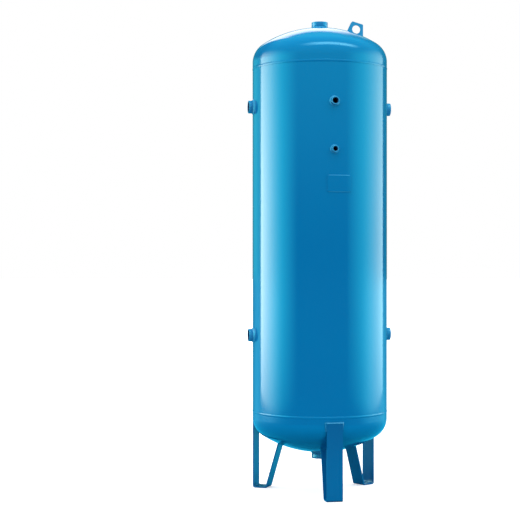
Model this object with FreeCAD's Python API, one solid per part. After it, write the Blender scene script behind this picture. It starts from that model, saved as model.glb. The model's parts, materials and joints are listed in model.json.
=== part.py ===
import FreeCAD, Part
import math
import os
from collections import namedtuple

# Vertical air receiver of about 500 litres: a welded steel pressure vessel that stands on three
# legs.  A rolled shell closes at each end with a dished head.  Threaded sockets take the pipework,
# the drain valve, the gauge and the pressure switch, a lug on the upper head lifts the vessel, and
# a curved bracket carries the nameplate.  Each weld is a piece of its own, and nothing moves.
#
# Millimetres.  The origin is on the vessel's axis at floor level.  +Z is up, and the front, with
# the gauge socket and the nameplate bracket, faces -Y.

# Vessel body
VESSEL_DIAMETER = 600.0
SHELL_LENGTH = 1525.0  # between the two girth seams
SHELL_WALL = 3.5
HEAD_WALL = 4.0
HEAD_FLANGE = 30.0  # straight edge of a head
HEAD_CROWN_RATIO = 0.8  # crown radius over vessel diameter, as a standard deep head has it
HEAD_KNUCKLE_RATIO = 0.154  # knuckle radius over vessel diameter
LOWER_SEAM_HEIGHT = 358.0  # lower girth seam above the floor

# Butt welds of the shell and the heads
BEAD_WIDTH = 12.0
BEAD_HEIGHT = 2.0
ROOT_GAP = 2.0  # between the plate edges that a butt weld joins
SHELL_SEAM_ANGLE = 90.0

# Threaded sockets.  The bore is the diameter across the thread's crests.
SocketSize = namedtuple("SocketSize", "outside bore length weld_leg")
G2 = SocketSize(outside=72.0, bore=56.656, length=44.0, weld_leg=6.0)
G1_1_2 = SocketSize(outside=57.0, bore=44.845, length=38.0, weld_leg=6.0)
G3_4 = SocketSize(outside=36.0, bore=24.117, length=30.0, weld_leg=4.0)
G1_2 = SocketSize(outside=30.0, bore=18.631, length=28.0, weld_leg=4.0)
SOCKET_HOLE_CLEARANCE = 0.5  # on the radius, between a socket and its hole in the wall
SOCKET_RIM_RADIUS = 2.5
SOCKET_LEAD_IN = 1.6  # chamfer at the mouth of the thread

# How far each socket stands out of the wall, and where it is
TOP_SOCKET_PROUD = 28.0
DRAIN_SOCKET_PROUD = 30.0
SIDE_SOCKET_PROUD = 23.0
FRONT_SOCKET_PROUD = 20.0
UPPER_SOCKETS_BELOW_SEAM = 173.0
LOWER_SOCKETS_ABOVE_SEAM = 340.0
SWITCH_BELOW_GAUGE = 205.0
FRONT_ANGLE = -90.0
LEFT_ANGLE = 180.0
RIGHT_ANGLE = 0.0

# Nameplate bracket
BRACKET_WIDTH = 106.0  # measured round the shell
BRACKET_HEIGHT = 68.0
BRACKET_THICKNESS = 3.0
BRACKET_BELOW_GAUGE = 352.0  # centre of the bracket below the gauge socket
BRACKET_OFFSET_ANGLE = 4.0  # from the front line, towards +X
BRACKET_WELD_LEG = 3.0
BRACKET_WELD_INSET = 5.0  # from the bracket's side to the end of the weld

# Legs, each bent from one flat bar: a strip down the vessel's side, a foot and a leaning brace
LEG_ANGLES = {"front_leg": -90.0, "right_rear_leg": 30.0, "left_rear_leg": 150.0}
LEG_WIDTH = 70.0
LEG_THICKNESS = 6.0
LEG_TOP_BELOW_SEAM = 24.0
LEG_FOOT_LENGTH = 65.0
LEG_BRACE_LEAN = 16.4  # degrees from the vertical
LEG_HEEL_RADIUS = 10.0  # outside of the bend under the strip
LEG_TOE_RADIUS = 8.0  # outside of the bend under the brace
LEG_FIT_GAP = 0.5  # between the strip and the vessel, filled by the weld
LEG_WELD_LENGTH = 34.0
LEG_WELD_LEG = 4.0
ANCHOR_HOLE_DIAMETER = 18.0

# Lifting lug, a plate on edge that points away from the vessel's axis
LUG_ANGLE = 0.0
LUG_THICKNESS = 8.0
LUG_INNER_FOOT = 122.0  # distances from the vessel's axis
LUG_INNER_SHOULDER = 143.0
LUG_PEAK = 150.0
LUG_OUTER_EDGE = 199.0
LUG_PEAK_RISE = 38.3  # heights over the top of the upper head
LUG_INNER_SHOULDER_RISE = 29.3
LUG_OUTER_SHOULDER_RISE = 24.3
LUG_CORNER_RADIUS = 4.0
LUG_HOLE_DIAMETER = 38.0
LUG_HOLE_RADIUS_FROM_AXIS = 168.0
LUG_HOLE_RISE = 2.3
LUG_WELD_LEG = 5.0

# Sizes that follow from those above
VESSEL_RADIUS = VESSEL_DIAMETER / 2
CROWN_RADIUS = HEAD_CROWN_RATIO * VESSEL_DIAMETER
KNUCKLE_RADIUS = HEAD_KNUCKLE_RATIO * VESSEL_DIAMETER
CROWN_CENTRE_DROP = math.sqrt(
    (CROWN_RADIUS - KNUCKLE_RADIUS) ** 2 - (VESSEL_RADIUS - KNUCKLE_RADIUS) ** 2
)  # from the knuckle's centre to the crown's
HEAD_HEIGHT = HEAD_FLANGE + CROWN_RADIUS - CROWN_CENTRE_DROP
UPPER_SEAM_HEIGHT = LOWER_SEAM_HEIGHT + SHELL_LENGTH
VESSEL_TOP = UPPER_SEAM_HEIGHT + HEAD_HEIGHT
VESSEL_BOTTOM = LOWER_SEAM_HEIGHT - HEAD_HEIGHT
UPPER_SOCKET_HEIGHT = UPPER_SEAM_HEIGHT - UPPER_SOCKETS_BELOW_SEAM
LOWER_SOCKET_HEIGHT = LOWER_SEAM_HEIGHT + LOWER_SOCKETS_ABOVE_SEAM
SWITCH_SOCKET_HEIGHT = UPPER_SOCKET_HEIGHT - SWITCH_BELOW_GAUGE
BRACKET_CENTRE_HEIGHT = UPPER_SOCKET_HEIGHT - BRACKET_BELOW_GAUGE
LEG_TOP = LOWER_SEAM_HEIGHT - LEG_TOP_BELOW_SEAM
LEG_OUTER_FACE = VESSEL_RADIUS + LEG_FIT_GAP + LEG_THICKNESS
ANCHOR_CIRCLE_RADIUS = LEG_OUTER_FACE - LEG_FOOT_LENGTH / 2

UP = FreeCAD.Vector(0, 0, 1)
DOWN = FreeCAD.Vector(0, 0, -1)
ORIGIN = FreeCAD.Vector(0, 0, 0)


def in_section(radius, height):
    """A point of the vessel's XZ section."""
    return FreeCAD.Vector(radius, 0, height)


def outward(angle):
    """The horizontal direction that points away from the axis at this angle."""
    return FreeCAD.Vector(math.cos(math.radians(angle)), math.sin(math.radians(angle)), 0)


def turned(shape, angle):
    """The shape turned about the vessel's axis."""
    return shape.rotated(ORIGIN, UP, angle)


def revolved(wire):
    """The solid that a wire in the XZ section sweeps round the vertical axis."""
    return Part.Face(wire).revolve(ORIGIN, UP, 360)


def rounded_outline(corners):
    """Closed wire in the XZ section through (x, z, corner radius) corners."""
    points = [in_section(x, z) for x, z, _ in corners]
    edges = []
    ends = []
    for index, (_, _, radius) in enumerate(corners):
        corner = points[index]
        back = (points[index - 1] - corner).normalize()
        ahead = (points[(index + 1) % len(points)] - corner).normalize()
        if radius == 0:
            ends.append((corner, corner))
            continue
        half_angle = back.getAngle(ahead) / 2
        setback = radius / math.tan(half_angle)
        inward = (back + ahead).normalize()
        middle = corner + inward * (radius / math.sin(half_angle) - radius)
        start = corner + back * setback
        end = corner + ahead * setback
        edges.append(Part.Arc(start, middle, end).toShape())
        ends.append((start, end))
    for index, (start, _) in enumerate(ends):
        edges.append(Part.LineSegment(ends[index - 1][1], start).toShape())
    return Part.Wire(Part.__sortEdges__(edges))


# --- Solid bodies that other pieces are trimmed to ---------------------------------------------

def dish(inset):
    """Solid under a head's surface, moved in by inset, standing on the seam at z = 0."""
    knuckle_centre = in_section(VESSEL_RADIUS - KNUCKLE_RADIUS, HEAD_FLANGE)
    crown_centre = in_section(0, HEAD_FLANGE - CROWN_CENTRE_DROP)
    meeting_angle = math.acos((VESSEL_RADIUS - KNUCKLE_RADIUS) / (CROWN_RADIUS - KNUCKLE_RADIUS))

    def on_arc(centre, radius, angle):
        return centre + in_section(math.cos(angle), math.sin(angle)) * (radius - inset)

    rim = in_section(VESSEL_RADIUS - inset, 0)
    shoulder = on_arc(knuckle_centre, KNUCKLE_RADIUS, 0)
    knuckle_middle = on_arc(knuckle_centre, KNUCKLE_RADIUS, meeting_angle / 2)
    meeting = on_arc(crown_centre, CROWN_RADIUS, meeting_angle)
    crown_middle = on_arc(crown_centre, CROWN_RADIUS, (meeting_angle + math.pi / 2) / 2)
    apex = on_arc(crown_centre, CROWN_RADIUS, math.pi / 2)
    edges = [
        Part.LineSegment(ORIGIN, rim).toShape(),
        Part.LineSegment(rim, shoulder).toShape(),
        Part.Arc(shoulder, knuckle_middle, meeting).toShape(),
        Part.Arc(meeting, crown_middle, apex).toShape(),
        Part.LineSegment(apex, ORIGIN).toShape(),
    ]
    return revolved(Part.Wire(edges))


def as_upper_head(shape):
    """A shape on the seam plane z = 0, raised to the upper girth seam."""
    return shape.translated(UP * UPPER_SEAM_HEIGHT)


def as_lower_head(shape):
    """A shape on the seam plane z = 0, turned over at the lower girth seam."""
    return shape.rotated(ORIGIN, FreeCAD.Vector(1, 0, 0), 180).translated(UP * LOWER_SEAM_HEIGHT)


def crown_height(radius):
    """Height of the upper head's crown at this distance from the axis."""
    return VESSEL_TOP - CROWN_RADIUS + math.sqrt(CROWN_RADIUS ** 2 - radius ** 2)


UPPER_CROWN = Part.makeSphere(CROWN_RADIUS, UP * (VESSEL_TOP - CROWN_RADIUS))
LOWER_CROWN = Part.makeSphere(CROWN_RADIUS, UP * (VESSEL_BOTTOM + CROWN_RADIUS))
SHELL_BODY = Part.makeCylinder(VESSEL_RADIUS, SHELL_LENGTH, UP * LOWER_SEAM_HEIGHT)


# --- Sockets -----------------------------------------------------------------------------------

Port = namedtuple("Port", "size proud face direction body")


def shell_port(size, proud, angle, height):
    """A socket that stands out of the shell."""
    face = outward(angle) * (VESSEL_RADIUS + proud) + UP * height
    return Port(size, proud, face, outward(angle), SHELL_BODY)


PORTS = {
    "top_socket": Port(
        G2, TOP_SOCKET_PROUD, UP * (VESSEL_TOP + TOP_SOCKET_PROUD), UP, UPPER_CROWN
    ),
    "drain_socket": Port(
        G2, DRAIN_SOCKET_PROUD, UP * (VESSEL_BOTTOM - DRAIN_SOCKET_PROUD), DOWN, LOWER_CROWN
    ),
    "left_upper_socket": shell_port(G1_1_2, SIDE_SOCKET_PROUD, LEFT_ANGLE, UPPER_SOCKET_HEIGHT),
    "left_lower_socket": shell_port(G1_1_2, SIDE_SOCKET_PROUD, LEFT_ANGLE, LOWER_SOCKET_HEIGHT),
    "right_upper_socket": shell_port(G1_1_2, SIDE_SOCKET_PROUD, RIGHT_ANGLE, UPPER_SOCKET_HEIGHT),
    "right_lower_socket": shell_port(G1_1_2, SIDE_SOCKET_PROUD, RIGHT_ANGLE, LOWER_SOCKET_HEIGHT),
    "gauge_socket": shell_port(G3_4, FRONT_SOCKET_PROUD, FRONT_ANGLE, UPPER_SOCKET_HEIGHT),
    "switch_socket": shell_port(G1_2, FRONT_SOCKET_PROUD, FRONT_ANGLE, SWITCH_SOCKET_HEIGHT),
}


def placed_at(port, shape):
    """A shape made with the socket's face at the origin and its axis along +Z, put in place."""
    turn = FreeCAD.Rotation(UP, port.direction)
    return shape.transformed(FreeCAD.Placement(port.face, turn).toMatrix())


def socket(port):
    """A round threaded socket with a rounded rim and a lead-in to its thread."""
    outside = port.size.outside / 2
    bore = port.size.bore / 2
    outline = rounded_outline([
        (bore, -port.size.length, 0),
        (outside, -port.size.length, 0),
        (outside, 0, SOCKET_RIM_RADIUS),
        (bore + SOCKET_LEAD_IN, 0, 0),
        (bore, -SOCKET_LEAD_IN, 0),
    ])
    return placed_at(port, revolved(outline))


def socket_hole(port):
    """The hole that a socket passes through, with its clearance."""
    radius = port.size.outside / 2 + SOCKET_HOLE_CLEARANCE
    depth = 2 * port.size.length
    return placed_at(port, Part.makeCylinder(radius, depth, UP * -depth))


def socket_weld(port):
    """Fillet weld round a socket, trimmed to the wall that it stands on."""
    outside = port.size.outside / 2
    leg = port.size.weld_leg
    toe = -port.proud - leg
    collar = Part.makeCone(outside + 2 * leg, outside, 2 * leg, UP * toe)
    core = Part.makeCylinder(outside, 2 * leg, UP * toe)
    return placed_at(port, collar.cut(core)).cut(port.body)


def with_socket_holes(wall, body):
    """A wall with the holes of the sockets that stand on it."""
    for port in PORTS.values():
        if port.body is body:
            wall = wall.cut(socket_hole(port))
    return wall


# --- Shell, heads and their butt welds ---------------------------------------------------------

def butt_bead(surface, wall):
    """Section of a butt weld: a cap on the surface and a root through the wall."""
    half_width = BEAD_WIDTH / 2
    half_gap = ROOT_GAP / 2
    cap = Part.Arc(
        in_section(surface, -half_width),
        in_section(surface + BEAD_HEIGHT, 0),
        in_section(surface, half_width),
    )
    corners = [
        in_section(surface, half_width),
        in_section(surface, half_gap),
        in_section(surface - wall, half_gap),
        in_section(surface - wall, -half_gap),
        in_section(surface, -half_gap),
        in_section(surface, -half_width),
    ]
    return Part.Wire([cap.toShape()] + Part.makePolygon(corners).Edges)


def girth_weld(height):
    """The ring of weld between the shell and a head."""
    bead = butt_bead(VESSEL_RADIUS, min(SHELL_WALL, HEAD_WALL))
    return revolved(bead).translated(UP * height)


def shell():
    """The rolled shell, open along its seam and drilled for its sockets."""
    length = SHELL_LENGTH - ROOT_GAP
    bottom = UP * (LOWER_SEAM_HEIGHT + ROOT_GAP / 2)
    tube = Part.makeCylinder(VESSEL_RADIUS, length, bottom)
    tube = tube.cut(Part.makeCylinder(VESSEL_RADIUS - SHELL_WALL, length, bottom))
    corner = FreeCAD.Vector(VESSEL_RADIUS / 2, -ROOT_GAP / 2, bottom.z)
    slot = Part.makeBox(VESSEL_RADIUS, ROOT_GAP, length, corner)
    return with_socket_holes(tube.cut(turned(slot, SHELL_SEAM_ANGLE)), SHELL_BODY)


def shell_seam_weld():
    """The straight weld up the shell's back, between the two girth welds."""
    chord_radius = math.sqrt(VESSEL_RADIUS ** 2 - (BEAD_WIDTH / 2) ** 2)
    length = SHELL_LENGTH - ROOT_GAP
    section = Part.Face(butt_bead(chord_radius, SHELL_WALL))
    section.rotate(ORIGIN, FreeCAD.Vector(1, 0, 0), -90)
    bead = section.extrude(UP * length).translated(UP * (LOWER_SEAM_HEIGHT + ROOT_GAP / 2))
    bore = Part.makeCylinder(VESSEL_RADIUS - SHELL_WALL, SHELL_LENGTH, UP * LOWER_SEAM_HEIGHT)
    bead = turned(bead, SHELL_SEAM_ANGLE).cut(shell()).cut(bore)
    return bead.cut(girth_weld(UPPER_SEAM_HEIGHT)).cut(girth_weld(LOWER_SEAM_HEIGHT))


def head_wall():
    """A dished head of even thickness, cut back at its rim by half the root gap."""
    rim = Part.makeCylinder(VESSEL_DIAMETER, ROOT_GAP / 2)
    return dish(0).cut(dish(HEAD_WALL)).cut(rim)


# --- Legs --------------------------------------------------------------------------------------

def weld_collar(length, width, leg):
    """Block that tapers at 45 degrees from a toe below z = 0 to length x width at z = leg."""
    def rectangle(grow, height):
        x = length / 2 + grow
        y = width / 2 + grow
        corners = [(-x, -y), (x, -y), (x, y), (-x, y), (-x, -y)]
        return Part.makePolygon([FreeCAD.Vector(a, b, height) for a, b in corners])

    return Part.makeLoft([rectangle(2 * leg, -leg), rectangle(0, leg)], True, True)


def leg_outline():
    """The bent bar seen from its side, with the brace run on into the head."""
    lean = math.tan(math.radians(LEG_BRACE_LEAN))
    brace_across = LEG_THICKNESS / math.cos(math.radians(LEG_BRACE_LEAN))
    toe = LEG_OUTER_FACE - LEG_FOOT_LENGTH
    brace_end = LOWER_SEAM_HEIGHT - HEAD_FLANGE
    brace_end_radius = toe - lean * brace_end
    inside_toe = toe + brace_across - lean * LEG_THICKNESS
    strip_inner_face = LEG_OUTER_FACE - LEG_THICKNESS
    return rounded_outline([
        (LEG_OUTER_FACE, LEG_TOP, 0),
        (LEG_OUTER_FACE, 0, LEG_HEEL_RADIUS),
        (toe, 0, LEG_TOE_RADIUS),
        (brace_end_radius, brace_end, 0),
        (brace_end_radius + brace_across, brace_end, 0),
        (inside_toe, LEG_THICKNESS, LEG_TOE_RADIUS - LEG_THICKNESS),
        (strip_inner_face, LEG_THICKNESS, LEG_HEEL_RADIUS - LEG_THICKNESS),
        (strip_inner_face, LEG_TOP, 0),
    ])


def leg():
    """A leg at angle 0, its brace trimmed to the lower head."""
    bar = Part.Face(leg_outline()).extrude(FreeCAD.Vector(0, LEG_WIDTH, 0))
    bar.translate(FreeCAD.Vector(0, -LEG_WIDTH / 2, 0))
    beside_strip = Part.makeCylinder(ANCHOR_CIRCLE_RADIUS, LOWER_SEAM_HEIGHT)
    bar = bar.cut(LOWER_CROWN.common(beside_strip))
    hole_centre = FreeCAD.Vector(ANCHOR_CIRCLE_RADIUS, 0, 0)
    return bar.cut(Part.makeCylinder(ANCHOR_HOLE_DIAMETER / 2, LEG_THICKNESS, hole_centre))


def strip_weld(bar):
    """Weld over the end and down both edges of a leg's strip."""
    collar = weld_collar(LEG_WELD_LENGTH, LEG_WIDTH, LEG_WELD_LEG)
    collar.rotate(ORIGIN, FreeCAD.Vector(0, 1, 0), 90)
    collar.translate(in_section(VESSEL_RADIUS, LEG_TOP - LEG_WELD_LENGTH / 2))
    return collar.cut(as_lower_head(dish(0))).cut(bar)


def brace_meeting_point():
    """Where the middle of the brace's thickness meets the lower head's crown."""
    lean = math.radians(LEG_BRACE_LEAN)
    half_across = LEG_THICKNESS / math.cos(lean) / 2
    start = in_section(LEG_OUTER_FACE - LEG_FOOT_LENGTH + half_across, 0)
    along = in_section(-math.sin(lean), math.cos(lean))
    crown_centre = in_section(0, VESSEL_BOTTOM + CROWN_RADIUS)
    offset = start - crown_centre
    half_b = offset.dot(along)
    distance = -half_b - math.sqrt(half_b ** 2 - offset.dot(offset) + CROWN_RADIUS ** 2)
    return start + along * distance


def brace_weld(bar):
    """Weld round the end of a leg's brace, on the lower head."""
    collar = weld_collar(LEG_THICKNESS, LEG_WIDTH, LEG_WELD_LEG)
    collar.rotate(ORIGIN, FreeCAD.Vector(0, 1, 0), 180 - LEG_BRACE_LEAN)
    collar.translate(brace_meeting_point())
    return collar.cut(LOWER_CROWN).cut(bar)


# --- Lifting lug -------------------------------------------------------------------------------

def lug():
    """The lug at angle 0: a plate with an eye, its lower edge trimmed to the upper head."""
    below_head = UPPER_SEAM_HEIGHT + HEAD_FLANGE
    shoulder = in_section(LUG_INNER_SHOULDER, VESSEL_TOP + LUG_INNER_SHOULDER_RISE)
    foot = in_section(LUG_INNER_FOOT, crown_height(LUG_INNER_FOOT))
    root = foot + (foot - shoulder) / 2  # the inner edge runs straight on into the head
    outline = rounded_outline([
        (root.x, root.z, 0),
        (root.x, below_head, 0),
        (LUG_OUTER_EDGE, below_head, 0),
        (LUG_OUTER_EDGE, VESSEL_TOP + LUG_OUTER_SHOULDER_RISE, LUG_CORNER_RADIUS),
        (LUG_PEAK, VESSEL_TOP + LUG_PEAK_RISE, LUG_CORNER_RADIUS),
        (shoulder.x, shoulder.z, LUG_CORNER_RADIUS),
    ])
    plate = Part.Face(outline).extrude(FreeCAD.Vector(0, LUG_THICKNESS, 0))
    eye_centre = in_section(LUG_HOLE_RADIUS_FROM_AXIS, VESSEL_TOP + LUG_HOLE_RISE)
    eye = Part.makeCylinder(
        LUG_HOLE_DIAMETER / 2, LUG_THICKNESS, eye_centre, FreeCAD.Vector(0, 1, 0)
    )
    plate = plate.cut(eye)
    plate.translate(FreeCAD.Vector(0, -LUG_THICKNESS / 2, 0))
    return plate.cut(UPPER_CROWN)


def lug_weld(plate):
    """Fillet weld round the lug's foot, square to the head at the middle of the lug."""
    middle = (LUG_INNER_FOOT + LUG_OUTER_EDGE) / 2
    slope = math.asin(middle / CROWN_RADIUS)
    foot_length = (LUG_OUTER_EDGE - LUG_INNER_FOOT) / math.cos(slope)
    collar = weld_collar(foot_length, LUG_THICKNESS, LUG_WELD_LEG)
    collar.rotate(ORIGIN, FreeCAD.Vector(0, 1, 0), math.degrees(slope))
    collar.translate(in_section(middle, crown_height(middle)))
    return collar.cut(UPPER_CROWN).cut(plate)


# --- Nameplate bracket -------------------------------------------------------------------------

def sector(corners, arc_length):
    """A section through (radius, height) corners swept round the shell, centred on angle 0."""
    sweep = math.degrees(arc_length / VESSEL_RADIUS)
    outline = rounded_outline([(radius, height, 0) for radius, height in corners])
    swept = Part.Face(outline).revolve(ORIGIN, UP, sweep)
    return turned(swept, FRONT_ANGLE + BRACKET_OFFSET_ANGLE - sweep / 2)


def bracket():
    """The blank curved plate that the nameplate is fixed to."""
    low = BRACKET_CENTRE_HEIGHT - BRACKET_HEIGHT / 2
    high = BRACKET_CENTRE_HEIGHT + BRACKET_HEIGHT / 2
    front = VESSEL_RADIUS + BRACKET_THICKNESS
    corners = [(VESSEL_RADIUS, low), (front, low), (front, high), (VESSEL_RADIUS, high)]
    return sector(corners, BRACKET_WIDTH)


def bracket_weld(side):
    """Fillet weld along the bracket's upper (side = 1) or lower (side = -1) edge."""
    edge = BRACKET_CENTRE_HEIGHT + side * BRACKET_HEIGHT / 2
    corners = [
        (VESSEL_RADIUS, edge),
        (VESSEL_RADIUS + BRACKET_WELD_LEG, edge),
        (VESSEL_RADIUS, edge + side * BRACKET_WELD_LEG),
    ]
    return sector(corners, BRACKET_WIDTH - 2 * BRACKET_WELD_INSET)


# --- The whole receiver ------------------------------------------------------------------------

def build():
    """Every piece of the receiver, by name."""
    pieces = {
        "shell": shell(),
        "upper_head": with_socket_holes(as_upper_head(head_wall()), UPPER_CROWN),
        "lower_head": with_socket_holes(as_lower_head(head_wall()), LOWER_CROWN),
        "shell_seam_weld": shell_seam_weld(),
        "upper_girth_weld": girth_weld(UPPER_SEAM_HEIGHT),
        "lower_girth_weld": girth_weld(LOWER_SEAM_HEIGHT),
        "nameplate_bracket": bracket(),
        "nameplate_bracket_upper_weld": bracket_weld(1),
        "nameplate_bracket_lower_weld": bracket_weld(-1),
    }
    for name, port in PORTS.items():
        pieces[name] = socket(port)
        pieces[name + "_weld"] = socket_weld(port)
    bar = leg()
    for name, angle in LEG_ANGLES.items():
        pieces[name] = turned(bar, angle)
        pieces[name + "_strip_weld"] = turned(strip_weld(bar), angle)
        pieces[name + "_brace_weld"] = turned(brace_weld(bar), angle)
    plate = lug()
    pieces["lifting_lug"] = turned(plate, LUG_ANGLE)
    pieces["lifting_lug_weld"] = turned(lug_weld(plate), LUG_ANGLE)
    return pieces


os.makedirs("parts", exist_ok=True)
for name, piece in build().items():
    piece.exportStep(os.path.join("parts", name + ".step"))
    print(f"{name}: {len(piece.Solids)} solid, {piece.Volume / 1000:.1f} cm3")
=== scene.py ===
# %% [markdown]
# # A vertical air receiver, finished for the camera
# The CAD model gives every part its place and its size. This script takes it as a fixed frame and adds what
# a painted steel vessel has: rippled weld beads, cut threads, rounded bar edges and a gloss enamel.

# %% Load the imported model
import json
import math

import bmesh
import bpy
from mathutils import Matrix, Vector, noise
from mathutils.bvhtree import BVHTree


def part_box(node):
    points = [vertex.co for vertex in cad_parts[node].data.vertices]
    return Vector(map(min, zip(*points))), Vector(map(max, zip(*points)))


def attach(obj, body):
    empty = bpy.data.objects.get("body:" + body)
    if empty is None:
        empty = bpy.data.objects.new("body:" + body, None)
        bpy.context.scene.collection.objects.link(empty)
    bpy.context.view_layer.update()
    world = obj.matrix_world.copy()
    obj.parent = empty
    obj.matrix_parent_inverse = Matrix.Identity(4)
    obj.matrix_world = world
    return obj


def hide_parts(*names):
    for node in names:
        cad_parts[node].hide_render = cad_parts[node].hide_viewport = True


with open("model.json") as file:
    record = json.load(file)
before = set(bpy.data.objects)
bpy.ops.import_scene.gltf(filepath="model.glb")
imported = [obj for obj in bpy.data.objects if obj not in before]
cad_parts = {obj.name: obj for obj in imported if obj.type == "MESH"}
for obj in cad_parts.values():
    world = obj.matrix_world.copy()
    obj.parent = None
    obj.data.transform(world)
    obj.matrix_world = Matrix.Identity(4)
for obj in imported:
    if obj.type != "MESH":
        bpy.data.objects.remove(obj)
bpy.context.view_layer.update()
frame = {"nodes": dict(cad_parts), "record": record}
nodes = frame["nodes"]
MM = 0.001
UP = Vector((0, 0, 1))

# %% [markdown]
# ## Measure the vessel
# Most places come from the boxes of the CAD nodes. The shell's box gives the vessel's radius, and the two
# girth welds give the heights where the heads begin.

# %% Radius and seam heights
shell_low, shell_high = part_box("shell")
vessel_radius = (shell_high.x - shell_low.x) / 2


def middle_height(node):
    """Height of the middle of a CAD node's box."""
    low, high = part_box(node)
    return (low.z + high.z) / 2


upper_seam = middle_height("upper_girth_weld")
lower_seam = middle_height("lower_girth_weld")
print("vessel radius:", round(vessel_radius, 4), "seams:", round(lower_seam, 3), round(upper_seam, 3))

# %% [markdown]
# ## Find the vessel's surface
# A weld has to sit on the plate it joins. A ray cast onto the shell and heads finds that plate anywhere, on
# the straight shell and on the curved heads alike, so one helper serves every bead.

# %% A ray onto the plate
plate_points = []
plate_faces = []
for wall in ("shell", "upper_head", "lower_head"):
    first = len(plate_points)
    plate_points.extend(v.co.copy() for v in nodes[wall].data.vertices)
    plate_faces.extend([first + i for i in face.vertices] for face in nodes[wall].data.polygons)
plate = BVHTree.FromPolygons(plate_points, plate_faces)
RAY_START = 60 * MM
RAY_LENGTH = 200 * MM


def on_plate(point, outward):
    """The place on the vessel's outside straight below a point, looking against outward."""
    start = point + outward * RAY_START
    hit = plate.ray_cast(start, -outward, RAY_LENGTH)[0]
    return hit if hit is not None else point


print("plate faces:", len(plate_faces))

# %% [markdown]
# ## Skin rows of points into a mesh
# Beads and threaded sockets are both rows of points joined by quads. Building them this way keeps every
# ripple and every thread in the mesh itself, where light can catch it from any side.

# %% Rows of points to a mesh
def skin(name, rows, loop):
    """A closed mesh over rows of points. Each row is a ring, and loop joins the last row to the first."""
    count = len(rows[0])
    points = [point for row in rows for point in row]
    faces = []
    for i in range(len(rows) if loop else len(rows) - 1):
        this_row = i * count
        next_row = (i + 1) % len(rows) * count
        for j in range(count):
            k = (j + 1) % count
            faces.append((this_row + j, this_row + k, next_row + k, next_row + j))
    if not loop:
        last_row = (len(rows) - 1) * count
        faces.append(tuple(range(count)))
        faces.append(tuple(last_row + j for j in range(count)))
    mesh = bpy.data.meshes.new(name)
    mesh.from_pydata(points, [], faces)
    outside = bmesh.new()
    outside.from_mesh(mesh)
    bmesh.ops.recalc_face_normals(outside, faces=outside.faces)
    outside.to_mesh(mesh)
    outside.free()
    return mesh


print("rows of points can be skinned")

# %% [markdown]
# ## Small helpers for node trees
# Each effect below is a node group with named sockets. These helpers make nodes and wires short to write,
# so that the cells can show what an effect does. Any value may be a number, a colour or a wire.

# %% Node helpers
def put(tree, kind, **settings):
    """A new node of that kind, with its settings."""
    made = tree.nodes.new(kind)
    for setting, value in settings.items():
        setattr(made, setting, value)
    return made


def fill(tree, socket, source):
    """Fill one socket from a wire or with a value."""
    if isinstance(source, bpy.types.NodeSocket):
        tree.links.new(source, socket)
    else:
        socket.default_value = source


def feed(tree, target, **sources):
    """Fill a node's named sockets, written with _ for spaces, from wires or with values."""
    for name, source in sources.items():
        fill(tree, target.inputs[name.replace("_", " ")], source)


def combine(tree, operation, first, second):
    """The output of a Math node with two inputs."""
    made = put(tree, "ShaderNodeMath", operation=operation)
    fill(tree, made.inputs[0], first)
    fill(tree, made.inputs[1], second)
    return made.outputs[0]


def product(tree, first, *others):
    """All the values multiplied together."""
    for other in others:
        first = combine(tree, "MULTIPLY", first, other)
    return first


def total(tree, first, *others):
    """All the values added up."""
    for other in others:
        first = combine(tree, "ADD", first, other)
    return first


print("helpers for single nodes and sums are ready")

# %% [markdown]
# ## Helpers for blends and directions
# A finish often goes from one look to another across a border. These helpers blend two colours, step
# smoothly between two values, and measure how far a vector points along a fixed direction.

# %% Blends, steps and directions
def blend(tree, factor, first, second):
    """The first colour where the factor is 0, the second where it is 1."""
    made = put(tree, "ShaderNodeMix", data_type="RGBA")
    tree.links.new(factor, made.inputs["Factor"])
    fill(tree, made.inputs[6], first)
    fill(tree, made.inputs[7], second)
    return made.outputs[2]


def blend_amounts(tree, factor, first, second):
    """The first number where the factor is 0, the second where it is 1."""
    made = put(tree, "ShaderNodeMix", data_type="FLOAT")
    feed(tree, made, Factor=factor, A=first, B=second)
    return made.outputs[0]


def step(tree, value, start, end, low, high):
    """A smooth step of a value, from low at the start to high at the end."""
    made = put(tree, "ShaderNodeMapRange", interpolation_type="SMOOTHSTEP")
    feed(tree, made, Value=value, From_Min=start, From_Max=end, To_Min=low, To_Max=high)
    return made.outputs["Result"]


def split(tree, vector):
    """The X, Y and Z of a vector."""
    made = put(tree, "ShaderNodeSeparateXYZ")
    tree.links.new(vector, made.inputs[0])
    return made.outputs["X"], made.outputs["Y"], made.outputs["Z"]


def reach_along(tree, vector, direction):
    """How far a vector reaches along a fixed direction."""
    made = put(tree, "ShaderNodeVectorMath", operation="DOT_PRODUCT")
    tree.links.new(vector, made.inputs[0])
    made.inputs[1].default_value = direction
    return made.outputs["Value"]


print("helpers for blends and directions are ready")

# %% [markdown]
# ## Helpers for effects
# A node group works like a small tool with its own sockets: it is built once, and every material that uses
# it sets its own values. That keeps all the finishes of the vessel related to each other.

# %% New effects and their use
def new_effect(title, inputs, outputs):
    """An empty node group with named sockets, its inner input node and its inner output node."""
    group = bpy.data.node_groups.new(title, "ShaderNodeTree")
    for name, value in inputs.items():
        kind = {tuple: "NodeSocketColor", float: "NodeSocketFloat", str: "NodeSocketVector"}[type(value)]
        socket = group.interface.new_socket(name=name, in_out="INPUT", socket_type=kind)
        if not isinstance(value, str):
            socket.default_value = value
    for name, kind in outputs.items():
        group.interface.new_socket(name=name, in_out="OUTPUT", socket_type="NodeSocket" + kind)
    return group, put(group, "NodeGroupInput"), put(group, "NodeGroupOutput")


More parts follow.
